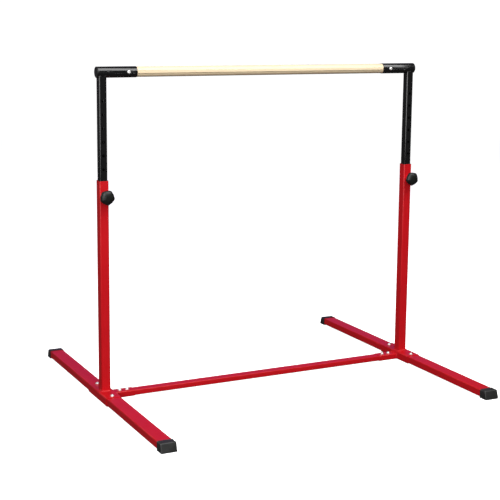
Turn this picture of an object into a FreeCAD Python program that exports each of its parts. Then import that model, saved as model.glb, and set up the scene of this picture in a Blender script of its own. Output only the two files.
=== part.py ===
"""Freestanding horizontal bar with two telescoping posts and a bolted floor base.

Millimetres. +Z is up, +X runs along the rail to the right-hand post, and -Y is the front,
where the knobs are. The origin is on the floor, half way between the posts.
Each side is modelled once, about its own post, with +X pointing inwards to the other post.
"""
import FreeCAD, Part
import math
import os

from FreeCAD import Vector

# Overall layout
POST_SPACING = 1330.0            # between the two posts' centre lines
RAIL_HEIGHT = 1228.5             # rail's centre above the floor at the setting shown
FOOT_REACH = 635.0               # post's centre to the nose of a foot cap, front and rear
FLOOR_GAP = 0.5                  # between the floor and the foot sleeve

# Red base: outer post, foot sleeve, crossbar socket and the tubes pushed into them
POST = 36.0
POST_WALL = 1.5
POST_TOP = 832.0
SLEEVE_WIDTH = 60.0
SLEEVE_HEIGHT = 33.0
SLEEVE_WALL = 2.0
SLEEVE_REACH = 100.0             # half of its length
FOOT_WIDTH = 55.0
FOOT_HEIGHT = 28.0
FOOT_WALL = 1.5
FOOT_INNER_END = 12.0            # where a foot tube stops inside the sleeve
FOOT_OUTER_END = 618.0           # where it stops inside its cap
SOCKET_WIDTH = 44.0
SOCKET_HEIGHT = 23.5
SOCKET_WALL = 1.6
SOCKET_REACH = 115.0             # post's centre to the socket's open end
CROSSBAR_WIDTH = 40.0
CROSSBAR_HEIGHT = 20.0
CROSSBAR_WALL = 1.2
CROSSBAR_INSET = 30.0            # post's centre to the crossbar's end
TUBE_CORNER = 4.0                # outer corner radius of the rolled tubes
WELD_LEG = 5.0
SOCKET_WELD_LEG = 3.0
WELD_TOE = 0.4                   # thickness at a weld's feathered edge

# Foot caps
CAP_WALL = 2.3
CAP_INNER_EDGE = 595.0
CAP_TOP_EDGE = 625.0             # the nose slopes out from here to FOOT_REACH at the floor
CAP_ROUND = 5.0

# M8 button-head bolts, washers and weld nuts
BOLT_R = 4.0
BOLT_HOLE_R = 4.25
BOLT_LENGTH = 16.0
BOLT_HEAD_R = 7.0
BOLT_HEAD_HEIGHT = 4.4
BOLT_HEAD_RIM = 0.8              # straight part of the head's side, under its dome
BOLT_HEAD_CROWN_R = 3.5          # flat round the head's socket
BOLT_HEAD_BOW = 0.55             # how far the dome bows out from a straight cone
BOLT_POINT = 1.0                 # chamfer on the shank's end
HEX_KEY = 5.0                    # across the flats of the head's socket
HEX_KEY_DEPTH = 2.6
NUT_FLATS = 13.0
NUT_HEIGHT = 6.5
NUT_BEVEL = math.tan(math.radians(30))
WASHER_R = 8.0
WASHER_THICKNESS = 1.6
FOOT_BOLT_Y = 83.0
CROSSBAR_BOLTS_X = (60.0, 90.0)  # from the post's centre

# Height lock: welded nut, M12 screw with a plain dog point, captive washer and knob
LOCK_Z = 775.0
HOLE_PITCH = 50.0
HOLE_COUNT = 13
HOLES_ABOVE_LOCK = 7             # the screw is in line with the eighth hole from the top
HOLE_R = 5.5
THREAD_PITCH = 1.75
LOCK_TURNS = 5
LOCK_TRAVEL = THREAD_PITCH * LOCK_TURNS
DOG_R = 5.0
DOG_LENGTH = 8.0
DOG_CLEARANCE = 1.25             # dog point to the inner post when the screw is backed off
SCREW_R = 6.0
SCREW_CLEARANCE = 0.5
SCREW_LENGTH = 38.0
LOCK_NUT_FLATS = 19.0
LOCK_NUT_HEIGHT = 10.0
LOCK_NUT_BORE_R = 6.05
LOCK_WASHER_R = 12.0
LOCK_WASHER_BORE_R = 6.1
LOCK_WASHER_GAP = 0.25           # washer to nut with the screw home
FACE_GAP = 0.05                  # between washer and knob, which turn against each other
KNOB_BOSS_R = 11.0
KNOB_BOSS_LENGTH = 8.0
KNOB_BODY_R = 25.5
KNOB_LOBES = 5
KNOB_LOBE_R = 11.0
KNOB_R = 28.5                    # over the lobes
KNOB_TURN = 60.0                 # degrees from +X up to the first lobe, with the screw as stored
KNOB_SIDE = 10.0                 # height of the lobed side before the dome starts
KNOB_HEIGHT = 18.0
KNOB_CROWN_R = 12.0
KNOB_BEVEL = 2.0                 # round the edge that faces the post
KNOB_DOME_BOW = 3.0              # how far the dome bows out from a straight cone

# Black upper frame
INNER_POST = 30.0
INNER_POST_WALL = 2.0
INNER_POST_LENGTH = 750.0        # rail's centre to the post's lower end
PLUG_DEPTH = 18.0
GLIDE_SIZE = 32.6
GLIDE_HEIGHT = 6.0
BUSH_CLEARANCE = 0.2
BUSH_DEPTH = 40.0
BUSH_LIP = 1.2
BUSH_LIP_SIZE = 34.6
RAIL_SOCKET_R = 20.5
RAIL_SOCKET_WALL = 1.3
RAIL_SOCKET_OUTER_END = 18.0     # outwards from the post's centre
RAIL_SOCKET_INNER_END = 133.0
SOCKET_PLUG_LIP = 3.0
SOCKET_PLUG_DEPTH = 6.0
SOCKET_PLUG_R = 19.1
SOCKET_PLUG_BEVEL = 2.0
RAIL_R = 19.0
RAIL_INSERTION = 72.0            # length of rail hidden in each socket
RAIL_CHAMFER = 1.5
RAIL_BOLT_X = 99.0               # from the post's centre
RAIL_BOLT_HOLE_R = 4.2
RAIL_BOLT_LENGTH = 50.0
SADDLE_WELD_LEG = 3.5
CAP_NUT_DOME = 5.5
CAP_NUT_DOME_INSET = 0.5         # the dome's foot, in from the flats
CAP_NUT_DOME_BOW = 1.6
CAP_NUT_CROWN = 3.0               # thickness of metal at the top of the dome

CUT = 1.0                        # how far a cutting shape runs past the face that it cuts
FAR = 100.0                      # reach of a cutting shape with no size of its own

X = Vector(1, 0, 0)
Y = Vector(0, 1, 0)
Z = Vector(0, 0, 1)
ORIGIN = Vector(0, 0, 0)

sleeve_top = FLOOR_GAP + SLEEVE_HEIGHT
foot_top = sleeve_top - SLEEVE_WALL
foot_bottom = foot_top - FOOT_HEIGHT
socket_top = FLOOR_GAP + SOCKET_HEIGHT
crossbar_top = socket_top - SOCKET_WALL
dog_tip_y = -(INNER_POST / 2 + DOG_CLEARANCE)
nut_face_y = -(POST / 2 + LOCK_NUT_HEIGHT)
washer_y = nut_face_y - LOCK_WASHER_GAP - LOCK_TRAVEL    # the washer's rear face, backed off
knob_y = washer_y - WASHER_THICKNESS - FACE_GAP          # the knob's rear face, backed off


def block(low, high, axis=None, radius=0.0):
    """A box between two corners, its four edges along one axis rounded."""
    low, high = Vector(*low), Vector(*high)
    size = high - low
    box = Part.makeBox(size.x, size.y, size.z, low)
    if radius:
        edges = [e for e in box.Edges if abs(e.tangentAt(e.FirstParameter).dot(axis)) > 0.99]
        box = box.makeFillet(radius, edges)
    return box


def rect_tube(low, high, axis, wall, radius=TUBE_CORNER):
    """A rectangular tube between two corners, open at both ends along the axis."""
    inset = Vector(wall, wall, wall) - axis * wall
    overrun = axis
    inner_low = Vector(*low) + inset - overrun
    inner_high = Vector(*high) - inset + overrun
    outer = block(low, high, axis, radius)
    return outer.cut(block(inner_low, inner_high, axis, radius - wall))


def rod(radius, start, axis, length):
    return Part.makeCylinder(radius, length, Vector(*start), axis)


def turned(points, arcs=()):
    """A solid turned about Z. Points are (radius, height); arcs maps an edge's number to a
    point that it bends through."""
    arcs = dict(arcs)
    corners = [Vector(r, 0, z) for r, z in points]
    edges = []
    for i, start in enumerate(corners):
        end = corners[(i + 1) % len(corners)]
        if i in arcs:
            r, z = arcs[i]
            edges.append(Part.Arc(start, Vector(r, 0, z), end).toShape())
        else:
            edges.append(Part.LineSegment(start, end).toShape())
    return Part.Face(Part.Wire(edges)).revolve(ORIGIN, Z, 360)


def bowed(start, end, bow):
    """The middle of two (radius, height) points, moved outwards and up by a distance."""
    run, rise = end[0] - start[0], end[1] - start[1]
    length = math.hypot(run, rise)
    return ((start[0] + end[0]) / 2 + rise / length * bow,
            (start[1] + end[1]) / 2 - run / length * bow)


def aim(shape, point, direction):
    """Moves a shape made about the origin to a point, its +Z along the direction."""
    moved = shape.copy()
    moved.Placement = FreeCAD.Placement(Vector(*point), FreeCAD.Rotation(Z, direction))
    return moved


def hexagon(flats, height):
    corner_r = flats / math.sqrt(3)
    corners = [Vector(corner_r * math.cos(math.radians(60 * i)),
                      corner_r * math.sin(math.radians(60 * i)), 0) for i in range(7)]
    return Part.Face(Part.makePolygon(corners)).extrude(Z * height)


def rounded_outline(half_x, half_y, radius, z):
    """The wire of a rectangle with rounded corners, level at height z."""
    prism = block((-half_x, -half_y, z), (half_x, half_y, z + 1), Z, radius)
    bottom = min(prism.Faces, key=lambda face: face.CenterOfMass.z)
    return bottom.OuterWire


def flared_collar(low_half, high_half, low_z, high_z, radius=TUBE_CORNER):
    """A solid that tapers between two rounded rectangles, given as (half x, half y)."""
    outlines = [rounded_outline(*low_half, radius, low_z),
                rounded_outline(*high_half, radius, high_z)]
    return Part.makeLoft(outlines, True, True)


# Fasteners, made about the origin with the seat of the head or nut at z = 0

def button_bolt(length):
    rim, crown = (BOLT_HEAD_R, BOLT_HEAD_RIM), (BOLT_HEAD_CROWN_R, BOLT_HEAD_HEIGHT)
    head = turned([(0, 0), (BOLT_HEAD_R, 0), rim, crown, (0, BOLT_HEAD_HEIGHT)],
                  {2: bowed(rim, crown, BOLT_HEAD_BOW)})
    key_hole = hexagon(HEX_KEY, HEX_KEY_DEPTH + CUT)
    head = head.cut(key_hole.translated(Z * (BOLT_HEAD_HEIGHT - HEX_KEY_DEPTH)))
    shank = turned([(0, 0), (BOLT_R, 0), (BOLT_R, BOLT_POINT - length),
                    (BOLT_R - BOLT_POINT, -length), (0, -length)])
    return head.fuse(shank).removeSplitter()


def washer(outer_r, bore_r, thickness):
    bore = rod(bore_r, (0, 0, -CUT), Z, thickness + 2 * CUT)
    return rod(outer_r, (0, 0, 0), Z, thickness).cut(bore)


def hex_nut(flats, height, bore_r):
    """A hexagon nut with its corners turned off at both ends."""
    corner_r = flats / math.sqrt(3)
    bevel = (corner_r - flats / 2) * NUT_BEVEL
    envelope = turned([(0, 0), (flats / 2, 0), (corner_r, bevel), (corner_r, height - bevel),
                       (flats / 2, height), (0, height)])
    bore = rod(bore_r, (0, 0, -CUT), Z, height + 2 * CUT)
    return hexagon(flats, height).common(envelope).cut(bore)


def cap_nut():
    """A nut with a hollow dome over its far end."""
    top = NUT_HEIGHT + CAP_NUT_DOME
    foot, tip = (NUT_FLATS / 2 - CAP_NUT_DOME_INSET, NUT_HEIGHT), (0, top)
    dome = turned([(BOLT_R, NUT_HEIGHT), foot, tip, (0, top - CAP_NUT_CROWN),
                   (BOLT_R, top - CAP_NUT_CROWN)], {1: bowed(foot, tip, CAP_NUT_DOME_BOW)})
    return hex_nut(NUT_FLATS, NUT_HEIGHT, BOLT_R).fuse(dome)


# Base, one side, about its own post

def outer_post():
    half = POST / 2
    post = rect_tube((-half, -half, sleeve_top), (half, half, POST_TOP), Z, POST_WALL)
    return post.cut(rod(SCREW_R + SCREW_CLEARANCE, (0, -half - CUT, LOCK_Z), Y, half))


def foot_sleeve():
    half = SLEEVE_WIDTH / 2
    sleeve = rect_tube((-half, -SLEEVE_REACH, FLOOR_GAP), (half, SLEEVE_REACH, sleeve_top), Y,
                       SLEEVE_WALL)
    for y in (-FOOT_BOLT_Y, FOOT_BOLT_Y):
        sleeve = sleeve.cut(rod(BOLT_HOLE_R, (0, y, foot_top - CUT), Z, SLEEVE_WALL + 2 * CUT))
    return sleeve


def crossbar_socket():
    half = SOCKET_WIDTH / 2
    socket = rect_tube((SLEEVE_WIDTH / 2, -half, FLOOR_GAP), (SOCKET_REACH, half, socket_top), X,
                       SOCKET_WALL)
    for x in CROSSBAR_BOLTS_X:
        socket = socket.cut(rod(BOLT_HOLE_R, (x, 0, crossbar_top - CUT), Z, SOCKET_WALL + 2 * CUT))
    return socket


def base_welds():
    """The fillets round the post's foot and round the crossbar socket, as two solids."""
    half_post = POST / 2
    toe = half_post + WELD_LEG
    feather = half_post + WELD_TOE
    post_fillet = flared_collar((toe, toe), (feather, feather), sleeve_top, sleeve_top + WELD_LEG)
    post_fillet = post_fillet.cut(block((-half_post, -half_post, 0), (half_post, half_post, FAR),
                                        Z, TUBE_CORNER))
    # the socket's fillet is made upright, then laid along X and trimmed level with its underside
    mid_z = FLOOR_GAP + SOCKET_HEIGHT / 2
    half_y = SOCKET_WIDTH / 2
    half_z = SOCKET_HEIGHT / 2
    leg = SOCKET_WELD_LEG
    fillet = flared_collar((half_z + leg, half_y + leg), (half_z + WELD_TOE, half_y + WELD_TOE),
                           0, leg)
    fillet.rotate(ORIGIN, Y, 90)
    fillet.translate(Vector(SLEEVE_WIDTH / 2, 0, mid_z))
    fillet = fillet.cut(block((0, -half_y, FLOOR_GAP), (FAR, half_y, socket_top), X, TUBE_CORNER))
    fillet = fillet.cut(block((0, -FAR, -FAR), (FAR, FAR, FLOOR_GAP)))
    return Part.Compound(post_fillet.Solids + fillet.Solids)


def foot_tube(way):
    """A foot tube; way is -1 at the front and +1 at the rear."""
    half = FOOT_WIDTH / 2
    tube = rect_tube((-half, FOOT_INNER_END, foot_bottom), (half, FOOT_OUTER_END, foot_top), Y,
                     FOOT_WALL, TUBE_CORNER - 1)
    hole_start = (0, FOOT_BOLT_Y, foot_top - FOOT_WALL - CUT)
    tube = tube.cut(rod(BOLT_HOLE_R, hole_start, Z, FOOT_WALL + 2 * CUT))
    return facing(tube, way)


def foot_cap(way):
    """A slip-on cap with a sloped nose. Its flat underside is what stands on the floor."""
    half = FOOT_WIDTH / 2 + CAP_WALL
    top = foot_top + CAP_WALL
    outline = [Vector(-half, CAP_INNER_EDGE, 0), Vector(-half, FOOT_REACH, 0),
               Vector(-half, CAP_TOP_EDGE, top), Vector(-half, CAP_INNER_EDGE, top)]
    cap = Part.Face(Part.makePolygon(outline + outline[:1])).extrude(X * 2 * half)
    inner_face = [e for e in cap.Edges
                  if all(abs(v.Point.y - CAP_INNER_EDGE) < 0.01 for v in e.Vertexes)]
    rounded = [e for e in cap.Edges if not any(e.isSame(f) for f in inner_face)]
    rounded = [e for e in rounded if max(v.Point.z for v in e.Vertexes) > 0.01]
    cap = cap.makeFillet(CAP_ROUND, rounded)
    room = block((-FOOT_WIDTH / 2, CAP_INNER_EDGE - CUT, foot_bottom),
                 (FOOT_WIDTH / 2, FOOT_OUTER_END, foot_top), Y, TUBE_CORNER - 1)
    return facing(cap.cut(room), way)


def facing(shape, way):
    """Turns a shape made for the rear to the front if way is -1."""
    return shape if way > 0 else shape.mirror(ORIGIN, Y)


def foot_bolt_points():
    return [(0, y) for y in (-FOOT_BOLT_Y, FOOT_BOLT_Y)]


def crossbar_bolt_points():
    return [(x, 0) for x in CROSSBAR_BOLTS_X]


def bolts(points, seat):
    bolt = button_bolt(BOLT_LENGTH)
    return Part.Compound([aim(bolt, (x, y, seat + WASHER_THICKNESS), Z) for x, y in points])


def bolt_washers(points, seat):
    ring = washer(WASHER_R, BOLT_HOLE_R, WASHER_THICKNESS)
    return Part.Compound([aim(ring, (x, y, seat), Z) for x, y in points])


def weld_nuts(points, ceiling):
    nut = hex_nut(NUT_FLATS, NUT_HEIGHT, BOLT_R)
    return Part.Compound([aim(nut, (x, y, ceiling - NUT_HEIGHT), Z) for x, y in points])


def post_bush():
    """The plastic guide in the outer post's mouth, with a thin lip on the tube's cut end."""
    outer = POST / 2 - POST_WALL
    inner = INNER_POST / 2 + BUSH_CLEARANCE
    lip = BUSH_LIP_SIZE / 2
    body = block((-outer, -outer, POST_TOP - BUSH_DEPTH), (outer, outer, POST_TOP), Z,
                 TUBE_CORNER - POST_WALL)
    rim = block((-lip, -lip, POST_TOP), (lip, lip, POST_TOP + BUSH_LIP), Z, TUBE_CORNER - 1)
    opening = block((-inner, -inner, 0), (inner, inner, POST_TOP + FAR), Z, TUBE_CORNER)
    return body.fuse(rim).removeSplitter().cut(opening)


def lock_nut():
    nut = hex_nut(LOCK_NUT_FLATS, LOCK_NUT_HEIGHT, LOCK_NUT_BORE_R)
    return aim(nut, (0, -POST / 2, LOCK_Z), -Y)


# Height lock, one side, backed off so that the upper frame is free to slide

def lock_washer():
    ring = washer(LOCK_WASHER_R, LOCK_WASHER_BORE_R, WASHER_THICKNESS)
    return aim(ring, (0, washer_y, LOCK_Z), -Y)


def lock_screw():
    """The threaded stud; z = 0 is the end of its dog point and it runs back into the knob."""
    stud = turned([(0, 0), (DOG_R - BOLT_POINT, 0), (DOG_R, BOLT_POINT), (DOG_R, DOG_LENGTH),
                   (SCREW_R, DOG_LENGTH), (SCREW_R, SCREW_LENGTH), (0, SCREW_LENGTH)])
    return aim(stud, (0, dog_tip_y, LOCK_Z), -Y)


def knob():
    """A domed hand knob with shallow lobes, moulded on the end of the lock screw."""
    lobe_centre = KNOB_R - KNOB_LOBE_R
    top = KNOB_BOSS_LENGTH + KNOB_HEIGHT
    plan = rod(KNOB_BODY_R, (0, 0, KNOB_BOSS_LENGTH), Z, KNOB_HEIGHT)
    for i in range(KNOB_LOBES):
        turn = math.radians(KNOB_TURN + 360 * i / KNOB_LOBES)
        centre = (lobe_centre * math.cos(turn), lobe_centre * math.sin(turn), KNOB_BOSS_LENGTH)
        plan = plan.fuse(rod(KNOB_LOBE_R, centre, Z, KNOB_HEIGHT))
    plan = plan.removeSplitter()
    shoulder = KNOB_BOSS_LENGTH + KNOB_SIDE
    edge, crown = (KNOB_R, shoulder), (KNOB_CROWN_R, top)
    dome = turned([(0, KNOB_BOSS_LENGTH), (KNOB_R - KNOB_BEVEL, KNOB_BOSS_LENGTH),
                   (KNOB_R, KNOB_BOSS_LENGTH + KNOB_BEVEL), edge, crown, (0, top)],
                  {3: bowed(edge, crown, KNOB_DOME_BOW)})
    head = plan.common(dome)
    boss = rod(KNOB_BOSS_R, (0, 0, 0), Z, KNOB_BOSS_LENGTH)
    whole = head.fuse(boss).removeSplitter()
    stud_depth = SCREW_LENGTH - (dog_tip_y - knob_y)
    whole = whole.cut(rod(SCREW_R, (0, 0, -CUT), Z, stud_depth + CUT))
    return aim(whole, (0, knob_y, LOCK_Z), -Y)


# Upper frame, one side

def inner_post():
    """The black post: holes in its front face, and a saddle at the top for the rail socket."""
    half = INNER_POST / 2
    bottom = RAIL_HEIGHT - INNER_POST_LENGTH
    post = rect_tube((-half, -half, bottom), (half, half, RAIL_HEIGHT), Z, INNER_POST_WALL)
    top_hole = LOCK_Z + HOLES_ABOVE_LOCK * HOLE_PITCH
    for i in range(HOLE_COUNT):
        post = post.cut(rod(HOLE_R, (0, -half - CUT, top_hole - i * HOLE_PITCH), Y, half))
    return post.cut(rod(RAIL_SOCKET_R, (-half - CUT, 0, RAIL_HEIGHT), X, INNER_POST + 2 * CUT))


def inner_post_plug():
    bottom = RAIL_HEIGHT - INNER_POST_LENGTH
    half = GLIDE_SIZE / 2
    inner = INNER_POST / 2 - INNER_POST_WALL
    flange = block((-half, -half, bottom - GLIDE_HEIGHT), (half, half, bottom), Z, TUBE_CORNER - 1)
    body = block((-inner, -inner, bottom), (inner, inner, bottom + PLUG_DEPTH), Z,
                 TUBE_CORNER - INNER_POST_WALL)
    return flange.fuse(body).removeSplitter()


def rail_socket():
    """The round tube across the top of the post, drilled front to back for the rail's bolt."""
    length = RAIL_SOCKET_OUTER_END + RAIL_SOCKET_INNER_END
    start = (-RAIL_SOCKET_OUTER_END, 0, RAIL_HEIGHT)
    bore_start = (-RAIL_SOCKET_OUTER_END - CUT, 0, RAIL_HEIGHT)
    tube = rod(RAIL_SOCKET_R, start, X, length)
    tube = tube.cut(rod(RAIL_SOCKET_R - RAIL_SOCKET_WALL, bore_start, X, length + 2 * CUT))
    return tube.cut(rod(RAIL_BOLT_HOLE_R, (RAIL_BOLT_X, -RAIL_SOCKET_R - CUT, RAIL_HEIGHT), Y,
                        2 * (RAIL_SOCKET_R + CUT)))


def socket_weld():
    """The bead that joins the post's saddle to the round socket."""
    half = INNER_POST / 2
    feather, toe = half + WELD_TOE, half + SADDLE_WELD_LEG
    collar = flared_collar((feather, feather), (toe, toe), RAIL_HEIGHT - RAIL_SOCKET_R - WELD_LEG,
                           RAIL_HEIGHT - RAIL_SOCKET_R / 2)
    collar = collar.cut(block((-half, -half, 0), (half, half, RAIL_HEIGHT), Z, TUBE_CORNER))
    return collar.cut(rod(RAIL_SOCKET_R, (-FAR, 0, RAIL_HEIGHT), X, 2 * FAR))


def socket_plug():
    inside = RAIL_SOCKET_OUTER_END - SOCKET_PLUG_DEPTH
    lip_end = RAIL_SOCKET_OUTER_END + SOCKET_PLUG_LIP
    plug = turned([(0, inside), (SOCKET_PLUG_R, inside), (SOCKET_PLUG_R, RAIL_SOCKET_OUTER_END),
                   (RAIL_SOCKET_R, RAIL_SOCKET_OUTER_END),
                   (RAIL_SOCKET_R, lip_end - SOCKET_PLUG_BEVEL),
                   (RAIL_SOCKET_R - SOCKET_PLUG_BEVEL, lip_end), (0, lip_end)])
    return aim(plug, (0, 0, RAIL_HEIGHT), -X)


def rail_bolt():
    return aim(button_bolt(RAIL_BOLT_LENGTH), (RAIL_BOLT_X, -RAIL_SOCKET_R, RAIL_HEIGHT), -Y)


def rail_nut():
    return aim(cap_nut(), (RAIL_BOLT_X, RAIL_SOCKET_R, RAIL_HEIGHT), Y)


# Pieces shared by both sides, in the whole object's frame

def crossbar():
    half_length = POST_SPACING / 2 - CROSSBAR_INSET
    half = CROSSBAR_WIDTH / 2
    bar = rect_tube((-half_length, -half, crossbar_top - CROSSBAR_HEIGHT),
                    (half_length, half, crossbar_top), X, CROSSBAR_WALL, TUBE_CORNER - 1)
    for side in (-1, 1):
        for x in CROSSBAR_BOLTS_X:
            start = (side * (POST_SPACING / 2 - x), 0, crossbar_top - CROSSBAR_WALL - CUT)
            bar = bar.cut(rod(BOLT_HOLE_R, start, Z, CROSSBAR_WALL + 2 * CUT))
    return bar


def rail():
    half_length = POST_SPACING / 2 - RAIL_SOCKET_INNER_END + RAIL_INSERTION
    wood = turned([(0, -half_length), (RAIL_R - RAIL_CHAMFER, -half_length),
                   (RAIL_R, RAIL_CHAMFER - half_length), (RAIL_R, half_length - RAIL_CHAMFER),
                   (RAIL_R - RAIL_CHAMFER, half_length), (0, half_length)])
    wood = aim(wood, (0, 0, RAIL_HEIGHT), X)
    for side in (-1, 1):
        start = (side * (POST_SPACING / 2 - RAIL_BOLT_X), -RAIL_R - CUT, RAIL_HEIGHT)
        wood = wood.cut(rod(RAIL_BOLT_HOLE_R, start, Y, 2 * (RAIL_R + CUT)))
    return wood


def one_side():
    """Every piece that each side has, by name."""
    foot_points = foot_bolt_points()
    crossbar_points = crossbar_bolt_points()
    return {
        "outer_post": outer_post(),
        "foot_sleeve": foot_sleeve(),
        "crossbar_socket": crossbar_socket(),
        "base_welds": base_welds(),
        "front_foot_tube": foot_tube(-1),
        "rear_foot_tube": foot_tube(1),
        "front_foot_cap": foot_cap(-1),
        "rear_foot_cap": foot_cap(1),
        "foot_bolts": bolts(foot_points, sleeve_top),
        "foot_bolt_washers": bolt_washers(foot_points, sleeve_top),
        "foot_weld_nuts": weld_nuts(foot_points, foot_top - FOOT_WALL),
        "crossbar_bolts": bolts(crossbar_points, socket_top),
        "crossbar_bolt_washers": bolt_washers(crossbar_points, socket_top),
        "crossbar_weld_nuts": weld_nuts(crossbar_points, crossbar_top - CROSSBAR_WALL),
        "post_bush": post_bush(),
        "lock_nut": lock_nut(),
        "lock_washer": lock_washer(),
        "lock_screw": lock_screw(),
        "knob": knob(),
        "inner_post": inner_post(),
        "inner_post_plug": inner_post_plug(),
        "rail_socket": rail_socket(),
        "socket_weld": socket_weld(),
        "socket_plug": socket_plug(),
        "rail_bolt": rail_bolt(),
        "rail_nut": rail_nut(),
    }


def placed(shape, side):
    """Moves a side's piece to the left (-1) or, mirrored so that it faces inwards, the right."""
    whole = shape.copy() if side < 0 else shape.mirror(ORIGIN, X)
    whole.translate(X * side * POST_SPACING / 2)
    return whole


def main():
    os.makedirs("parts", exist_ok=True)
    nodes = {"crossbar": crossbar(), "rail": rail()}
    for name, shape in one_side().items():
        nodes["left_" + name] = placed(shape, -1)
        nodes["right_" + name] = placed(shape, 1)
    for name, shape in nodes.items():
        shape.exportStep("parts/" + name + ".step")
        print(f"{name}: {len(shape.Solids)} solid(s), {shape.Volume / 1000:.1f} cm3, "
              f"valid {shape.isValid()}")


main()
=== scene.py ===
"""Looks of a freestanding horizontal bar: wooden rail, telescoping posts, bolted tube base.

Metres, in the CAD model's frame: +Z up, +X along the rail, -Y the front, where the knobs are.
Tubes stay as CAD nodes with softened edges and their own materials. The welds, fasteners,
knobs, foot caps and end plugs are replaced by finer meshes at the places of their nodes.
"""
import math

import bmesh
import bpy
from mathutils import Matrix, Vector, noise


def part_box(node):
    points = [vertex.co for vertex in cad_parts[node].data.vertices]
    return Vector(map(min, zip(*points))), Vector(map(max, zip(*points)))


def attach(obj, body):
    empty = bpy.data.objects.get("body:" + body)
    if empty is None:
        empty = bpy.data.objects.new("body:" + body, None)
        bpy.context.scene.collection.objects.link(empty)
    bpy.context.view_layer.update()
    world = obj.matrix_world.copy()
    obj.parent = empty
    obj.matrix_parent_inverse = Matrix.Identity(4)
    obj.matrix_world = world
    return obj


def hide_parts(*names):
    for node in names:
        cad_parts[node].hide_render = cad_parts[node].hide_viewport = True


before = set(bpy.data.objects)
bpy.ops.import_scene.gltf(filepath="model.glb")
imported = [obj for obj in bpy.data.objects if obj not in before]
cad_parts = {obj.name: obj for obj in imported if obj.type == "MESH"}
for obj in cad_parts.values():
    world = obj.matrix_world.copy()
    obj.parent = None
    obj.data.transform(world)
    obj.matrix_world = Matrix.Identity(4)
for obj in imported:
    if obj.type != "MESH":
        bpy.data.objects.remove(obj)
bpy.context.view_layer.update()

MM = 0.001
SIDES = ("left", "right")
X, Y, Z = Vector((1, 0, 0)), Vector((0, 1, 0)), Vector((0, 0, 1))
AROUND = 96                         # points round a turned piece, a multiple of 6 for hexagons

# Sizes that a node's box doesn't give
TUBE_CORNER = 4 * MM                # outer corner radius of the rolled tubes
EDGE_ROUND = 0.3 * MM               # rounding of sharp edges on the nodes that stay
RAIL_EDGE_ROUND = 0.4 * MM
BOLT_SHANK_R = 4 * MM
HEX_KEY = 5 * MM                    # across the flats of a bolt head's socket
WASHER_BORE_R = 4.25 * MM
LOCK_WASHER_BORE_R = 6.1 * MM
THREAD_PITCH = 1.75 * MM
THREAD_DEPTH = 1.0 * MM
DOG_R = 5 * MM                      # plain point of the lock screw
DOG_LENGTH = 8 * MM
KNOB_R = 28.4 * MM                  # over the lobes
KNOB_VALLEY_R = 26.2 * MM
KNOB_LOBE_R = 11 * MM
KNOB_LOBES = 5
KNOB_FIRST_LOBE = {"left": math.radians(60), "right": math.radians(120)}
KNOB_BOSS = 8 * MM                  # length of the boss that faces the post
KNOB_SIDE = 5.5 * MM                # straight side between the boss and the dome
KNOB_DISC_R = 6.2 * MM              # disc in the middle of the crown
CAP_RIBS = 4                        # across the sole of a foot cap
CAP_RIB_HEIGHT = 0.9 * MM
PLUG_STEM_R = 19.1 * MM
BEAD_STEP = 0.65 * MM               # between the rings of a weld bead
POST_BEAD_R = 3.8 * MM
ROOT_BEAD_R = 3.6 * MM
SADDLE_BEAD_R = 2.0 * MM
RIPPLE_LENGTH = 2.6 * MM
RIPPLE_HEIGHT = 0.16 * MM

# Camera and stage
CAMERA_AT = (-2.1256, -4.1348, 1.4387)
CAMERA_YAW = math.radians(26.5726)  # from +Y towards +X
CAMERA_DIP = math.radians(9.2586)
CAMERA_ROLL = math.radians(0.5408)
LENS_MM = 86.025
SENSOR_MM = 36.0
FRAME_SHIFT = -0.08085              # the frame reaches further down than up


# ---------------------------------------------------------------- mesh building

def skin(rings, loop=False, capped=True):
    """A bmesh over rings of points with equal counts; loop joins the last ring to the first."""
    bm = bmesh.new()
    rows = [[bm.verts.new(point) for point in ring] for ring in rings]
    pairs = list(zip(rows, rows[1:]))
    if loop:
        pairs.append((rows[-1], rows[0]))
    count = len(rows[0])
    for low, high in pairs:
        for i in range(count):
            j = (i + 1) % count
            bm.faces.new((low[i], low[j], high[j], high[i]))
    if capped and not loop:
        bm.faces.new(rows[0][::-1])
        bm.faces.new(rows[-1])
    bmesh.ops.recalc_face_normals(bm, faces=bm.faces)
    return bm


def merged(parts):
    """Several bmeshes as one."""
    whole = bmesh.new()
    for part in parts:
        mesh = bpy.data.meshes.new("part")
        part.to_mesh(mesh)
        part.free()
        whole.from_mesh(mesh)
        bpy.data.meshes.remove(mesh)
    return whole


def piece(name, bm, body, node, slot, crease=35.0):
    """A finished piece that stands for a CAD node and rides on its body."""
    limit = math.radians(crease)
    for face in bm.faces:
        face.smooth = True
    for edge in bm.edges:
        edge.smooth = edge.calc_face_angle(0.0) < limit
    mesh = bpy.data.meshes.new(name)
    bm.to_mesh(mesh)
    bm.free()
    made = bpy.data.objects.new(name, mesh)
    bpy.context.scene.collection.objects.link(made)
    mesh.materials.append(materials[slot])
    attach(made, body)
    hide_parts(node)


def facing(point, direction):
    """The matrix that puts a piece made about the origin at a point, +Z along direction."""
    return Matrix.Translation(point) @ direction.to_track_quat("Z", "Y").to_matrix().to_4x4()


def turned(profile, place, around=AROUND):
    """Rings round Z for a profile of (radius, height), where a radius may be a function of the
    angle, then moved to their place."""
    rings = []
    for radius, height in profile:
        ring = []
        for i in range(around):
            angle = math.tau * i / around
            r = radius(angle) if callable(radius) else radius
            ring.append(place @ Vector((r * math.cos(angle), r * math.sin(angle), height)))
        rings.append(ring)
    return rings


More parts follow.
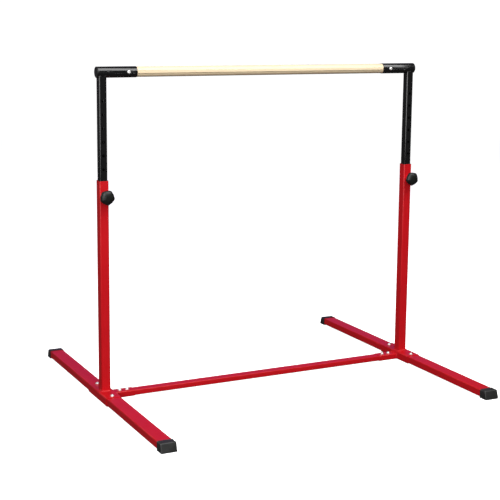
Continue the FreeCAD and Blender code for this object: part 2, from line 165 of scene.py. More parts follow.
def filleted(corners, steps=4):
    """A profile whose corners with a third number are rounded to that radius."""
    points = []
    for i, corner in enumerate(corners):
        here = Vector(corner[:2])
        if len(corner) < 3:
            points.append(tuple(here))
            continue
        back = Vector(corners[i - 1][:2]) - here
        on = Vector(corners[i + 1][:2]) - here
        half = back.angle(on) / 2
        reach = min(corner[2] / math.tan(half), back.length / 2, on.length / 2)
        start = here + back.normalized() * reach
        end = here + on.normalized() * reach
        inwards = (back.normalized() + on.normalized()).normalized()
        centre = here + inwards * (reach / math.cos(half))
        for k in range(steps + 1):
            arm = (start - centre).normalized().slerp((end - centre).normalized(), k / steps)
            points.append(tuple(centre + arm * (start - centre).length))
    return points


def hexagon(flats):
    """The radius of a hexagon at an angle, with a corner at angle 0."""
    return lambda angle: flats / 2 / math.cos(angle % (math.pi / 3) - math.pi / 6)


def limited(shape, radius):
    """An outline that is cut back to a circle."""
    return lambda angle: min(shape(angle), radius)


def centre_of(node):
    low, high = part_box(node)
    return (low + high) / 2


# ---------------------------------------------------------------- materials

def add(tree, kind, settings=None, **inputs):
    """A shader node with its settings, and its inputs set to values or linked to sockets."""
    made = tree.nodes.new("ShaderNode" + kind)
    for key, value in (settings or {}).items():
        setattr(made, key, value)
    for key, value in inputs.items():
        socket = made.inputs[int(key[1:]) if key[1:].isdigit() else key.replace("_", " ")]
        if isinstance(value, bpy.types.NodeSocket):
            tree.links.new(value, socket)
        else:
            socket.default_value = value
    return made


def stretched(tree, scale):
    """Object coordinates with each axis multiplied."""
    place = add(tree, "TexCoord").outputs["Object"]
    return add(tree, "Mapping", Vector=place, Scale=scale).outputs["Vector"]


def noise_of(tree, where, scale, detail=2.0, roughness=0.5):
    return add(tree, "TexNoise", Vector=where, Scale=scale, Detail=detail,
               Roughness=roughness).outputs["Fac"]


def spread(tree, value, low, high):
    """A 0 to 1 value mapped to run from low to high."""
    return add(tree, "MapRange", Value=value, To_Min=low, To_Max=high).outputs["Result"]


def sharpened(tree, value, start, end):
    return add(tree, "MapRange", Value=value, From_Min=start, From_Max=end).outputs["Result"]


def blend(tree, factor, low, high):
    """Two colours, or a socket and a colour, mixed by a factor."""
    made = add(tree, "Mix", {"data_type": "RGBA"}, _0=factor)
    for index, colour in ((6, low), (7, high)):
        if isinstance(colour, bpy.types.NodeSocket):
            tree.links.new(colour, made.inputs[index])
        else:
            made.inputs[index].default_value = (*colour, 1.0)
    return made.outputs[2]


def blank(name, **settings):
    """A Principled material with constant settings, its node tree and its shader."""
    material = bpy.data.materials.new(name)
    material.use_nodes = True
    shader = material.node_tree.nodes["Principled BSDF"]
    for key, value in settings.items():
        shader.inputs[key.replace("_", " ")].default_value = value
    return material, material.node_tree, shader


def finish_nodes(tree, shader, colour, roughness, height, depth):
    """Links colour and roughness, and a bump of that real depth."""
    tree.links.new(colour, shader.inputs["Base Color"])
    tree.links.new(roughness, shader.inputs["Roughness"])
    bump = add(tree, "Bump", Height=height, Distance=depth, Strength=1.0)
    tree.links.new(bump.outputs["Normal"], shader.inputs["Normal"])


def powder_coat(name, colour, deep, rough, uneven, peel_size, peel_depth, specular):
    """Powder paint: a faint orange peel, cloudy colour and slightly uneven gloss."""
    material, tree, shader = blank(name, Specular_IOR_Level=specular)
    where = stretched(tree, (1, 1, 1))
    cloud = noise_of(tree, where, 9.0, 3.0)
    peel = noise_of(tree, where, 1 / peel_size, 2.0, 0.45)
    grit = noise_of(tree, where, 4 / peel_size, 1.0)
    shade = blend(tree, sharpened(tree, cloud, 0.3, 0.7), deep, colour)
    gloss = spread(tree, noise_of(tree, where, 60.0, 3.0), rough - uneven, rough + uneven)
    surface = add(tree, "Math", {"operation": "MULTIPLY_ADD"}, _0=grit, _1=0.25, _2=peel)
    finish_nodes(tree, shader, shade, gloss, surface.outputs[0], peel_depth)
    return material


def moulded(name, colour, pale, rough, grain_size, grain_depth, specular):
    """Moulded rubber or plastic: a fine spark-eroded grain and a faint bloom."""
    material, tree, shader = blank(name, Specular_IOR_Level=specular)
    where = stretched(tree, (1, 1, 1))
    grain = add(tree, "TexVoronoi", {"feature": "SMOOTH_F1"}, Vector=where, Scale=1 / grain_size,
                Smoothness=0.6).outputs["Distance"]
    bloom = noise_of(tree, where, 45.0, 4.0, 0.6)
    shade = blend(tree, sharpened(tree, bloom, 0.35, 0.75), colour, pale)
    gloss = spread(tree, bloom, rough - 0.06, rough + 0.06)
    finish_nodes(tree, shader, shade, gloss, grain, grain_depth)
    return material


def zinc_plate():
    """Bright zinc: fine tool marks, a faint blue and yellow cast and soft smudges."""
    material, tree, shader = blank("zinc_steel", Metallic=0.82)
    where = stretched(tree, (1, 1, 1))
    cast = noise_of(tree, where, 180.0, 2.0)
    shade = blend(tree, sharpened(tree, cast, 0.3, 0.7), (0.90, 0.92, 0.95), (0.95, 0.93, 0.88))
    scratches = noise_of(tree, stretched(tree, (300, 2600, 2600)), 1.0, 3.0)
    gloss = spread(tree, noise_of(tree, where, 420.0, 3.0), 0.30, 0.42)
    finish_nodes(tree, shader, shade, gloss, scratches, 0.004 * MM)
    return material


def varnished_wood():
    """Pale close-grained hardwood under a clear satin varnish; the grain runs along X."""
    material, tree, shader = blank("rail_wood", Coat_Weight=0.35, Coat_Roughness=0.22,
                                   Coat_IOR=1.48)
    along = add(tree, "TexCoord").outputs["Object"]
    warp = noise_of(tree, stretched(tree, (1.6, 16, 16)), 1.0, 2.0)
    sway = spread(tree, warp, -0.012, 0.012)
    parts = add(tree, "SeparateXYZ", Vector=along)
    # growth rings round a pith line that lies below and behind the rail
    across = add(tree, "CombineXYZ", Y=parts.outputs["Y"], Z=parts.outputs["Z"]).outputs["Vector"]
    from_pith = add(tree, "VectorMath", {"operation": "DISTANCE"}, _0=across,
                    _1=(0, 0.055, centre_of("rail").z - 0.075)).outputs["Value"]
    radius = add(tree, "Math", {"operation": "ADD"}, _0=from_pith, _1=sway).outputs[0]
    phase = add(tree, "Math", {"operation": "MULTIPLY"}, _0=radius, _1=1 / 0.0034).outputs[0]
    ring = add(tree, "Math", {"operation": "FRACT"}, _0=phase).outputs[0]
    late = add(tree, "Math", {"operation": "POWER"}, _0=ring, _1=3.0).outputs[0]
    fibre = noise_of(tree, stretched(tree, (9, 900, 900)), 1.0, 4.0, 0.65)
    cloud = noise_of(tree, stretched(tree, (3.2, 30, 30)), 1.0, 3.0)
    fleck = add(tree, "TexVoronoi", {"feature": "F1"}, Vector=stretched(tree, (260, 1500, 1500)),
                Scale=1.0, Randomness=1.0).outputs["Distance"]
    pore = sharpened(tree, fleck, 0.16, 0.08)
    pale, tan = (0.96, 0.80, 0.55), (0.87, 0.66, 0.41)
    shade = blend(tree, spread(tree, late, 0.0, 0.5), pale, tan)
    shade = blend(tree, spread(tree, sharpened(tree, cloud, 0.3, 0.7), 0.0, 0.35), shade, tan)
    shade = blend(tree, spread(tree, sharpened(tree, fibre, 0.35, 0.7), 0.0, 0.28), shade,
                  (0.74, 0.52, 0.30))
    shade = blend(tree, spread(tree, pore, 0.0, 0.45), shade, (0.50, 0.31, 0.16))
    gloss = spread(tree, fibre, 0.42, 0.56)
    finish_nodes(tree, shader, shade, gloss, fibre, 0.02 * MM)
    return material


materials = {
    "red_powder_coat": powder_coat("red_powder_coat", (0.60, 0.007, 0.012), (0.55, 0.005, 0.010),
                                   0.36, 0.05, 1.6 * MM, 0.035 * MM, 0.40),
    "black_powder_coat": powder_coat("black_powder_coat", (0.0060, 0.0060, 0.0064),
                                     (0.0045, 0.0045, 0.0048), 0.20, 0.02, 1.2 * MM, 0.008 * MM,
                                     0.9),
    "rail_wood": varnished_wood(),
    "zinc_steel": zinc_plate(),
    "black_rubber": moulded("black_rubber", (0.012, 0.013, 0.012), (0.022, 0.023, 0.022), 0.50,
                            0.5 * MM, 0.05 * MM, 0.7),
    "black_plastic": moulded("black_plastic", (0.006, 0.007, 0.006), (0.010, 0.011, 0.010), 0.40,
                             0.35 * MM, 0.02 * MM, 0.4),
}


# ---------------------------------------------------------------- CAD nodes that stay

def soften_edges(node, slot, width):
    """Gives a carried-over node its material and a small rounding on its sharp edges."""
    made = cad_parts[node]
    for socket in made.material_slots:
        socket.link = "OBJECT"
        socket.material = materials[slot]
    weld = made.modifiers.new("weld", "WELD")
    weld.merge_threshold = 0.002 * MM
    bevel = made.modifiers.new("bevel", "BEVEL")
    bevel.width = width
    bevel.segments = 3
    bevel.limit_method = "ANGLE"
    bevel.angle_limit = math.radians(40)
    bevel.harden_normals = True


# ---------------------------------------------------------------- fasteners

def button_bolt(place, head_r, head_height, length):
    """A button-head bolt with a hexagon socket; the head's seat is at the place's origin."""
    shank_r, key = BOLT_SHANK_R, HEX_KEY
    dome = [(head_r * math.cos(a), head_height * (0.2 + 0.8 * math.sin(a)))
            for a in (math.radians(9 * k) for k in range(1, 7))]
    hole = hexagon(key)
    profile = [(shank_r * 0.75, -length), (shank_r, shank_r * 0.3 - length), (shank_r, 0)]
    profile += filleted([(shank_r, 0), (head_r, 0, 0.3 * MM), (head_r, head_height * 0.2)])[1:]
    profile += dome
    profile += [(head_r * 0.52, head_height * 0.99), (hexagon(key * 1.06), head_height),
                (hole, head_height * 0.96), (hole, head_height * 0.4),
                (key * 0.2, head_height * 0.3)]
    return skin(turned(profile, place))


def flat_washer(place, outer_r, bore_r, thickness):
    """A stamped washer: rounded on the punch side, with a fine burr line inside."""
    t = thickness
    profile = filleted([(bore_r, t / 2), (bore_r, t, t * 0.12), (outer_r, t, t * 0.35),
                        (outer_r, 0, t * 0.15), (bore_r, 0, t * 0.2), (bore_r, t * 0.49)])
    return skin(turned(profile, place), loop=True)


def bolts_of(side, name):
    """The bolts and washers of one joint of the base, replaced together."""
    low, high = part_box(f"{side}_{name}_bolts")
    washer_low, washer_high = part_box(f"{side}_{name}_bolt_washers")
    long_axis = 0 if high.x - low.x > high.y - low.y else 1
    head_r = (high[1 - long_axis] - low[1 - long_axis]) / 2
    washer_r = (washer_high[1 - long_axis] - washer_low[1 - long_axis]) / 2
    middle = (low + high) / 2
    heads, rings = [], []
    for i, end in enumerate((low[long_axis] + head_r, high[long_axis] - head_r)):
        at = middle.copy()
        at[long_axis] = end
        at.z = washer_high.z
        turn = Matrix.Rotation(0.4 + 1.1 * i + at.x * 7, 4, "Z")
        heads.append(button_bolt(Matrix.Translation(at) @ turn, head_r, high.z - washer_high.z,
                                 washer_high.z - low.z))
        at.z = washer_low.z
        rings.append(flat_washer(Matrix.Translation(at), washer_r, WASHER_BORE_R,
                                 washer_high.z - washer_low.z))
    piece(f"{side}_{name}_button_bolts", merged(heads), "base", f"{side}_{name}_bolts",
          "zinc_steel")
    piece(f"{side}_{name}_flat_washers", merged(rings), "base", f"{side}_{name}_bolt_washers",
          "zinc_steel")


def rail_fasteners(side):
    """The bolt through the socket and rail, and the cap nut on its far end."""
    low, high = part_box(f"{side}_rail_bolt")
    nut_low, nut_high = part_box(f"{side}_rail_nut")
    socket_low, socket_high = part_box(f"{side}_rail_socket")
    at = Vector(((low.x + high.x) / 2, socket_low.y, (low.z + high.z) / 2))
    head_r = (high.x - low.x) / 2
    bolt = button_bolt(facing(at, -Y), head_r, socket_low.y - low.y, high.y - socket_low.y)
    piece(f"{side}_rail_button_bolt", bolt, "upper_frame", f"{side}_rail_bolt", "zinc_steel")
    flats = nut_high.z - nut_low.z
    corner = flats / math.sqrt(3)
    height = nut_high.y - nut_low.y
    nut_height = height * 0.54
    dome_r = flats / 2 - 0.5 * MM
    hexed = hexagon(flats)
    profile = [(BOLT_SHANK_R, 0), (flats * 0.46, 0), (limited(hexed, flats / 2), 0.1 * MM),
               (limited(hexed, corner * 0.97), 0.6 * MM), (hexed, 1.2 * MM),
               (hexed, nut_height - 1.2 * MM),
               (limited(hexed, corner * 0.97), nut_height - 0.6 * MM),
               (limited(hexed, flats / 2), nut_height), (dome_r, nut_height + 0.1 * MM)]
    rise = height - nut_height
    profile += [(dome_r * math.cos(a), nut_height + rise * math.sin(a))
                for a in (math.radians(9.9 * k) for k in range(1, 9))]
    at.y = nut_low.y
    piece(f"{side}_rail_cap_nut", skin(turned(profile, facing(at, Y))), "upper_frame",
          f"{side}_rail_nut", "zinc_steel")


# ---------------------------------------------------------------- height lock

def threaded_screw(side):
    """The lock screw: a plain dog point, then a helical thread up to the knob."""
    low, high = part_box(f"{side}_lock_screw")
    at = Vector(((low.x + high.x) / 2, high.y, (low.z + high.z) / 2))
    crest = (high.x - low.x) / 2
    length = high.y - low.y
    steps = 14                         # rings to a turn of the thread
    profile = filleted([(DOG_R - 1 * MM, 0), (DOG_R, 1 * MM, 0.5 * MM), (DOG_R, DOG_LENGTH)])
    turns = (length - DOG_LENGTH) / THREAD_PITCH
    for k in range(int(turns * steps) + 1):
        height = DOG_LENGTH + k * THREAD_PITCH / steps
        fade = min(1.0, k / steps)

        def radius(angle, k=k, fade=fade):
            phase = (k / steps - angle / math.tau) % 1.0
            groove = max(0.0, min(1.0, 1.35 * (1 - abs(2 * phase - 1)) - 0.12))
            return DOG_R + (crest - DOG_R) * fade - THREAD_DEPTH * fade * groove * 0.98
        profile.append((radius, height))
    piece(f"{side}_threaded_screw", skin(turned(profile, facing(at, -Y), 72)),
          f"{side}_lock_screw", f"{side}_lock_screw", "zinc_steel", 50)


def captive_washer(side):
    low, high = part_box(f"{side}_lock_washer")
    at = Vector(((low.x + high.x) / 2, high.y, (low.z + high.z) / 2))
    ring = flat_washer(facing(at, -Y), (high.x - low.x) / 2, LOCK_WASHER_BORE_R, high.y - low.y)
    piece(f"{side}_captive_washer", ring, f"{side}_lock_washer", f"{side}_lock_washer",
          "zinc_steel")


def lobed_knob(side):
    """A moulded five-lobed knob: boss, fluted side, domed crown and a disc in its middle."""
    low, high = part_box(f"{side}_knob")
    axis = centre_of(f"{side}_lock_screw")
    at = Vector((axis.x, high.y, axis.z))
    top = high.y - low.y
    side_top = KNOB_BOSS + KNOB_SIDE

    def lobed(share, inset=0.0):
        """An outline between round (0) and fully lobed (1)."""
        def radius(angle):
            pitch = math.tau / KNOB_LOBES
            off = (angle - KNOB_FIRST_LOBE[side] + pitch / 2) % pitch - pitch / 2
            reach = KNOB_R - KNOB_LOBE_R
            inside = max(KNOB_LOBE_R ** 2 - (reach * math.sin(off)) ** 2, 0)
            lobe = reach * math.cos(off) + math.sqrt(inside)
            soft = 0.5 * MM            # how gently a lobe runs into the valley
            gap = (lobe - KNOB_VALLEY_R) / soft
            edge = KNOB_VALLEY_R + soft * math.log1p(math.exp(gap)) if gap < 40 else lobe
            middle = (KNOB_R + KNOB_VALLEY_R) / 2
            return (middle + (edge - middle) * share) - inset
        return radius
    boss = KNOB_BOSS
    profile = filleted([(6 * MM, 0), (10.5 * MM, 0, 0.6 * MM),
                        (10 * MM, boss - 1.2 * MM, 1.2 * MM), (13 * MM, boss - 0.6 * MM)])
    profile += [(lobed(0.6, 6 * MM), boss), (lobed(1, 2.4 * MM), boss + 0.1 * MM),
                (lobed(1, 1.2 * MM), boss + 0.5 * MM), (lobed(1, 0.4 * MM), boss + 1.3 * MM),
                (lobed(1), boss + 2.6 * MM), (lobed(1), side_top)]
    for k in range(1, 13):
        a = math.radians(7.1 * k)
        drop = KNOB_R * (1 - math.cos(a)) * 0.82
        profile.append((lobed(math.cos(a) ** 0.7, drop),
                        side_top + (top - side_top) * math.sin(a)))
    disc_r = KNOB_DISC_R
    crown = profile[-1][0](0.0)
    profile += [(min(crown, 7.6 * MM), top - 0.05 * MM), (disc_r + 0.3 * MM, top - 0.1 * MM),
                (disc_r, top - 0.6 * MM), (disc_r - 0.3 * MM, top - 0.6 * MM),
                (disc_r - 0.5 * MM, top - 0.15 * MM), (disc_r * 0.5, top), (0.5 * MM, top)]
    rings = turned(profile, facing(at, -Y), 150)
    piece(f"{side}_lobed_knob", skin(rings), f"{side}_lock_screw", f"{side}_knob",
          "black_plastic", 40)


# ---------------------------------------------------------------- caps and plugs

def cap_outline(half, low, high, top_r, sole_r, sole_lift, steps=6):
    """A foot cap's cross-section in (x, z), anticlockwise from the sole's middle.

    The sole's flat middle is lifted by sole_lift and the rims beside it stay low."""
    flat = half - 5 * MM
    points = [(0, low + sole_lift), (flat * 0.5, low + sole_lift), (flat, low + sole_lift),
              (flat + 0.6 * MM, low)]
    for centre, radius, start in (((half - sole_r, low + sole_r), sole_r, -90),
                                  ((half - top_r, high - top_r), top_r, 0)):
        for k in range(steps + 1):
            a = math.radians(start + 90 * k / steps)
            points.append((centre[0] + radius * math.cos(a), centre[1] + radius * math.sin(a)))
    points.append((0, high))
    return points + [(-x, z) for x, z in points[-2:0:-1]]


def foot_cap(side, end):
    """A slip-on moulded cap: collar, sloping nose, ribbed sole and a pocket for the tube."""
    node = f"{side}_{end}_foot_cap"
    low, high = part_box(node)
    tube_low, tube_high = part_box(f"{side}_{end}_foot_tube")
    way = 1 if end == "rear" else -1
    inner, nose = sorted((abs(low.y), abs(high.y)))
    middle = (low.x + high.x) / 2
    half, top = (high.x - low.x) / 2, high.z
    slope = 10 * MM                    # how far the nose leans out from its top to the floor
    step = 0.45 * MM                   # how far the collar stands proud of the body
    edge = 3.2 * MM                    # rounding of the nose's top and side edges
    sole_edge = 0.8 * MM               # rounding of its edge on the floor

    def nose_ring(y, inset, low):
        """A ring of the leaning nose: inset at the top and sides, low above the floor."""
        outline = cap_outline(half - inset, low, top - inset, 4 * MM, 1.2 * MM, 0.0)
        return [Vector((middle + x, way * (y - slope * z / top), z)) for x, z in outline]

    def sole_only(y, inset, lift):
        """The body's ring: inset at the top and sides, while the sole keeps to the floor."""
        outline = cap_outline(half - inset, 0.0, top - inset, 5 * MM, 1.2 * MM, lift)
        return [Vector((middle + x, way * y, z)) for x, z in outline]
    rings = []
    # pocket, from its floor out to the mouth
    tube_half = (tube_high.x - tube_low.x) / 2
    tube_end = abs(tube_high.y) if way > 0 else abs(tube_low.y)

    def pocket(y, grow):
        outline = cap_outline(tube_half + grow, tube_low.z - grow, tube_high.z + grow, 3 * MM,
                              3 * MM, 0.0)
        return [Vector((middle + x, way * y, z)) for x, z in outline]
    rings += [pocket(tube_end, 0.02 * MM), pocket(inner + 1.2 * MM, 0.02 * MM),
              pocket(inner + 0.2 * MM, 0.6 * MM), pocket(inner, 0.9 * MM)]
    # collar
    rings += [sole_only(inner, 0.5 * MM, 0), sole_only(inner + 0.2 * MM, 0.1 * MM, 0),
              sole_only(inner + 0.5 * MM, 0, 0), sole_only(inner + 4.6 * MM, 0, 0),
              sole_only(inner + 5.0 * MM, 0.1 * MM, 0), sole_only(inner + 5.4 * MM, step, 0)]
    # body with a ribbed sole
    start, stop, groove = inner + 7 * MM, nose - slope - 8 * MM, 1.6 * MM
    pitch = (stop - start) / CAP_RIBS
    for k in range(CAP_RIBS):
        y = start + pitch * k
        rings += [sole_only(y, step, 0), sole_only(y + 0.3 * MM, step, CAP_RIB_HEIGHT),
                  sole_only(y + groove, step, CAP_RIB_HEIGHT),
                  sole_only(y + groove + 0.3 * MM, step, 0)]
    # sloping nose, rounded into the body
    for k in range(8):
        a = math.radians(90 * k / 7)
        inset = step + edge * (1 - math.cos(a))
        rings.append(nose_ring(nose - edge * (1 - math.sin(a)), inset,
                               sole_edge * (1 - math.cos(a))))
    bm = skin(rings)
    for vert in bm.verts:
        vert.co.z = max(vert.co.z, 0.0)
    piece(f"{side}_{end}_moulded_cap", bm, "base", node, "black_rubber", 40)


def end_plug(side):
    """The plug in the outer end of a rail socket: a raised rim round a shallow dished face."""
    low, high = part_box(f"{side}_socket_plug")
    socket_low, socket_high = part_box(f"{side}_rail_socket")
    way = -1 if side == "left" else 1
    outer_end = low.x if way < 0 else high.x
    socket_end = socket_low.x if way < 0 else socket_high.x
    inside = high.x if way < 0 else low.x
    radius = (high.z - low.z) / 2
    lip = abs(outer_end - socket_end)
    depth = abs(inside - socket_end)
    centre = centre_of(f"{side}_socket_plug")
    at = Vector((socket_end, centre.y, centre.z))
    stem = PLUG_STEM_R
    profile = filleted([(stem - MM, -depth), (stem, MM - depth), (stem, -0.01 * MM),
                        (radius, 0.0, 0.2 * MM), (radius, lip, 2.0 * MM),
                        (radius - 3.6 * MM, lip, 0.5 * MM),
                        (radius - 4.6 * MM, lip - 0.9 * MM, 0.6 * MM),
                        (radius * 0.4, lip - 0.5 * MM), (0.6 * MM, lip - 0.4 * MM)])
    piece(f"{side}_end_plug", skin(turned(profile, facing(at, X * way))), "upper_frame",
          f"{side}_socket_plug", "black_plastic")


# ---------------------------------------------------------------- welds

def bead(path, radius, closed, seed, across=14):
    """A rippled weld bead along points spaced evenly; each item is (point, tangent, outward)."""
    rings = []
    count = len(path)
    for i, (point, tangent, outward) in enumerate(path):
        end = 1.0 if closed else min(1.0, 0.25 + min(i, count - 1 - i) / 6)
        third = tangent.cross(outward).normalized()
        ring = []
        for k in range(across):
            a = math.tau * k / across
            lean = 0.9 * MM * math.sin(a) ** 2     # ripples bow back at the bead's toes
            travel = i * BEAD_STEP + lean
            ripple = RIPPLE_HEIGHT * math.sin(math.tau * travel / RIPPLE_LENGTH)
            wander = 0.5 * MM * noise.noise(Vector((i * 0.045, seed, 0.5 * math.cos(a))))
            r = (radius + ripple + wander) * end
            ring.append(point + outward * (r * math.cos(a)) + third * (r * math.sin(a)))
        rings.append(ring)
    return skin(rings, loop=closed)


def evenly(points, closed):
    """Resamples a polyline to a spacing of BEAD_STEP; returns points and unit tangents."""
    line = points + points[:1] if closed else points
    lengths = [0.0]
    for a, b in zip(line, line[1:]):
        lengths.append(lengths[-1] + (b - a).length)
    count = max(8, round(lengths[-1] / BEAD_STEP))
    made, segment = [], 0
    for i in range(count if closed else count + 1):
        want = lengths[-1] * i / count
        while segment < len(line) - 2 and lengths[segment + 1] < want:
            segment += 1
        span = lengths[segment + 1] - lengths[segment]
        share = (want - lengths[segment]) / span if span else 0.0
        made.append(line[segment].lerp(line[segment + 1], share))
    tangents = []
    for i in range(len(made)):
        if closed:
            ahead, behind = made[(i + 1) % len(made)], made[i - 1]
        else:
            ahead, behind = made[min(i + 1, len(made) - 1)], made[max(i - 1, 0)]
        tangents.append((ahead - behind).normalized())
    return made, tangents


def rounded_rectangle(half_a, half_b, radius, steps=8):
    """Points of a rounded rectangle, anticlockwise, as (a, b)."""
    points = []
    for quarter, (sa, sb) in enumerate(((1, 1), (-1, 1), (-1, -1), (1, -1))):
        for k in range(steps + 1):
            a = math.radians(90 * quarter + 90 * k / steps)
            points.append(((half_a - radius) * sa + radius * math.cos(a),
                           (half_b - radius) * sb + radius * math.sin(a)))
    return points


def base_weld_beads(side):
    """One bead round the foot of the post, and one over the crossbar socket's root."""
    post_low, post_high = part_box(f"{side}_outer_post")
    middle = (post_low + post_high) / 2
    corner = TUBE_CORNER
    outline = rounded_rectangle((post_high.x - post_low.x) / 2, (post_high.y - post_low.y) / 2,
                                corner)
    foot_line = [Vector((middle.x + a, middle.y + b, post_low.z)) for a, b in outline]
    points, tangents = evenly(foot_line, True)
    path = []
    for point, tangent in zip(points, tangents):
        away = tangent.cross(Z)
        outward = (away + Z).normalized()
        path.append((point - outward * 1.2 * MM, tangent, outward))
    seed = 3.0 if side == "left" else 8.0
    foot = bead(path, POST_BEAD_R, True, seed)

    low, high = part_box(f"{side}_crossbar_socket")
    sleeve_low, sleeve_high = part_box(f"{side}_foot_sleeve")
    inward = X if side == "left" else -X
    face_x = sleeve_high.x if side == "left" else sleeve_low.x
    half_y = (high.y - low.y) / 2
    arch = [Vector((face_x, -half_y, low.z))]
    for y_sign, start in ((-1, 180), (1, 90)):
        for k in range(9):
            a = math.radians(start - 90 * k / 8)
            arch.append(Vector((face_x, y_sign * (half_y - corner) + corner * math.cos(a),
                                high.z - corner + corner * math.sin(a))))
    arch.append(Vector((face_x, half_y, low.z)))
    points, tangents = evenly(arch, False)
    path = []
    for point, tangent in zip(points, tangents):
        away = tangent.cross(X)
        if away.dot(point - Vector((face_x, 0, low.z))) < 0:
            away = -away
        outward = (away + inward).normalized()
        path.append((point - outward * 1.0 * MM, tangent, outward))
    root = bead(path, ROOT_BEAD_R, False, seed + 2)
    both = merged([foot, root])
    for vert in both.verts:
        vert.co.z = max(vert.co.z, low.z)
    piece(f"{side}_base_weld_beads", both, "base", f"{side}_base_welds", "red_powder_coat", 80)


def saddle_weld_bead(side):
    """The bead along the saddle where the square inner post meets the round rail socket."""
    low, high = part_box(f"{side}_inner_post")
    axis = centre_of(f"{side}_rail_socket")
    socket_low, socket_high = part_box(f"{side}_rail_socket")
    tube_r = (socket_high.z - socket_low.z) / 2
    middle_x, half = (low.x + high.x) / 2, (high.x - low.x) / 2
    outline = rounded_rectangle(half, half, TUBE_CORNER)
    saddle = [Vector((middle_x + a, b, axis.z - math.sqrt(tube_r ** 2 - b ** 2)))
              for a, b in outline]
    points, tangents = evenly(saddle, True)
    path = []
    for point, tangent in zip(points, tangents):
        level = Vector((tangent.x, tangent.y, 0)).normalized()
        from_post = level.cross(Z)
        from_tube = Vector((0, point.y, point.z - axis.z)).normalized()
        outward = (from_post + from_tube).normalized()
        outward = (outward - tangent * outward.dot(tangent)).normalized()
        path.append((point - outward * 0.9 * MM, tangent, outward))
    seed = 5.0 if side == "left" else 12.0
    piece(f"{side}_saddle_weld_bead", bead(path, SADDLE_BEAD_R, True, seed),
          "upper_frame", f"{side}_socket_weld", "black_powder_coat", 80)


# ---------------------------------------------------------------- the whole object

KEPT = {
    "outer_post": "red_powder_coat", "foot_sleeve": "red_powder_coat",
    "crossbar_socket": "red_powder_coat", "front_foot_tube": "red_powder_coat",
    "rear_foot_tube": "red_powder_coat", "lock_nut": "red_powder_coat",
    "inner_post": "black_powder_coat", "rail_socket": "black_powder_coat",
    "post_bush": "black_plastic", "inner_post_plug": "black_plastic",
    "foot_weld_nuts": "zinc_steel", "crossbar_weld_nuts": "zinc_steel",
}
for side in SIDES:
    for name, slot in KEPT.items():
        soften_edges(f"{side}_{name}", slot, EDGE_ROUND)
    bolts_of(side, "foot")
    bolts_of(side, "crossbar")
    rail_fasteners(side)
    threaded_screw(side)
    captive_washer(side)
    lobed_knob(side)
    foot_cap(side, "front")
    foot_cap(side, "rear")
    end_plug(side)
    base_weld_beads(side)
    saddle_weld_bead(side)
soften_edges("crossbar", "red_powder_coat", EDGE_ROUND)
soften_edges("rail", "rail_wood", RAIL_EDGE_ROUND)


# ---------------------------------------------------------------- stage, lights and camera

def stage():
    """A round pale floor that curves up into a backdrop on every side."""
    flat, bend, height = 9.0, 3.0, 12.0
    outline = [(0.1 * MM, 0.0), (flat, 0.0)]
    for k in range(1, 25):
        a = math.radians(90 * k / 24)
        outline.append((flat + bend * math.sin(a), bend - bend * math.cos(a)))
    outline.append((flat + bend, height))
    bm = skin(turned(outline, Matrix.Identity(4)), capped=False)
    for face in bm.faces:
        face.smooth = True
    mesh = bpy.data.meshes.new("studio_floor")
    bm.to_mesh(mesh)
    bm.free()
    floor = bpy.data.objects.new("studio_floor", mesh)
    bpy.context.scene.collection.objects.link(floor)
    paper = blank("studio_paper", Base_Color=(0.93, 0.93, 0.93, 1), Roughness=0.9,
                  Specular_IOR_Level=0.1, Emission_Color=(1, 1, 1, 1), Emission_Strength=0.9)[0]
    mesh.materials.append(paper)
    floor.visible_glossy = False
    floor.visible_diffuse = False
    floor.visible_shadow = False


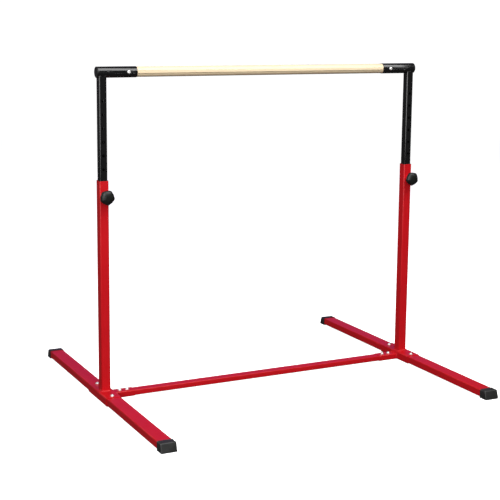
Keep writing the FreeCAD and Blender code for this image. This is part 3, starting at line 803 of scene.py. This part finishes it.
def softbox(name, at, aim, width, height, power):
    data = bpy.data.lights.new(name, "AREA")
    data.shape = "RECTANGLE"
    data.size = width
    data.size_y = height
    data.energy = power
    lamp = bpy.data.objects.new(name, data)
    lamp.location = at
    lamp.rotation_euler = (Vector(aim) - Vector(at)).to_track_quat("-Z", "Y").to_euler()
    bpy.context.scene.collection.objects.link(lamp)
    return lamp


def camera():
    data = bpy.data.cameras.new("camera")
    data.lens = LENS_MM
    data.sensor_width = SENSOR_MM
    data.shift_y = FRAME_SHIFT
    data.clip_end = 100
    made = bpy.data.objects.new("camera", data)
    forward = Vector((math.sin(CAMERA_YAW) * math.cos(CAMERA_DIP),
                      math.cos(CAMERA_YAW) * math.cos(CAMERA_DIP), -math.sin(CAMERA_DIP)))
    level = Vector((math.cos(CAMERA_YAW), -math.sin(CAMERA_YAW), 0))
    upright = level.cross(forward)
    right = level * math.cos(CAMERA_ROLL) + upright * math.sin(CAMERA_ROLL)
    up = upright * math.cos(CAMERA_ROLL) - level * math.sin(CAMERA_ROLL)
    turn = Matrix((right, up, -forward)).transposed().to_4x4()
    made.matrix_world = Matrix.Translation(CAMERA_AT) @ turn
    bpy.context.scene.collection.objects.link(made)
    bpy.context.scene.camera = made


def sunward(azimuth, elevation, distance):
    """A point round the object, azimuth 0 in front and negative towards the left."""
    a, e = math.radians(azimuth), math.radians(elevation)
    return Vector((math.sin(a) * math.cos(e), -math.cos(a) * math.cos(e), math.sin(e))) * distance


stage()
# fill lights the fronts, bank gives the sockets their highlight and back tints the tops
softbox("fill", sunward(-36, 22, 5.4) + Z * 0.6, (0, 0, 0.6), 4.2, 4.2, 240)
softbox("bank", (1.0, -1.8, 3.9), (1.0, 0, 0.9), 4.6, 2.8, 155)
softbox("rear", sunward(-128, 30, 5.5), (0, 0, 0.8), 3.0, 2.4, 40)
back = softbox("back", (1.5, 6.0, 1.8), (0, 0, 0.6), 7.0, 2.0, 16)
back.data.color = (0.5, 0.15, 1.0)
back.visible_camera = False
camera()

world = bpy.data.worlds.new("studio")
bpy.context.scene.world = world
world.use_nodes = True
world.node_tree.nodes["Background"].inputs["Color"].default_value = (1, 1, 1, 1)
world.node_tree.nodes["Background"].inputs["Strength"].default_value = 0.05
bpy.context.scene.view_settings.view_transform = "Standard"
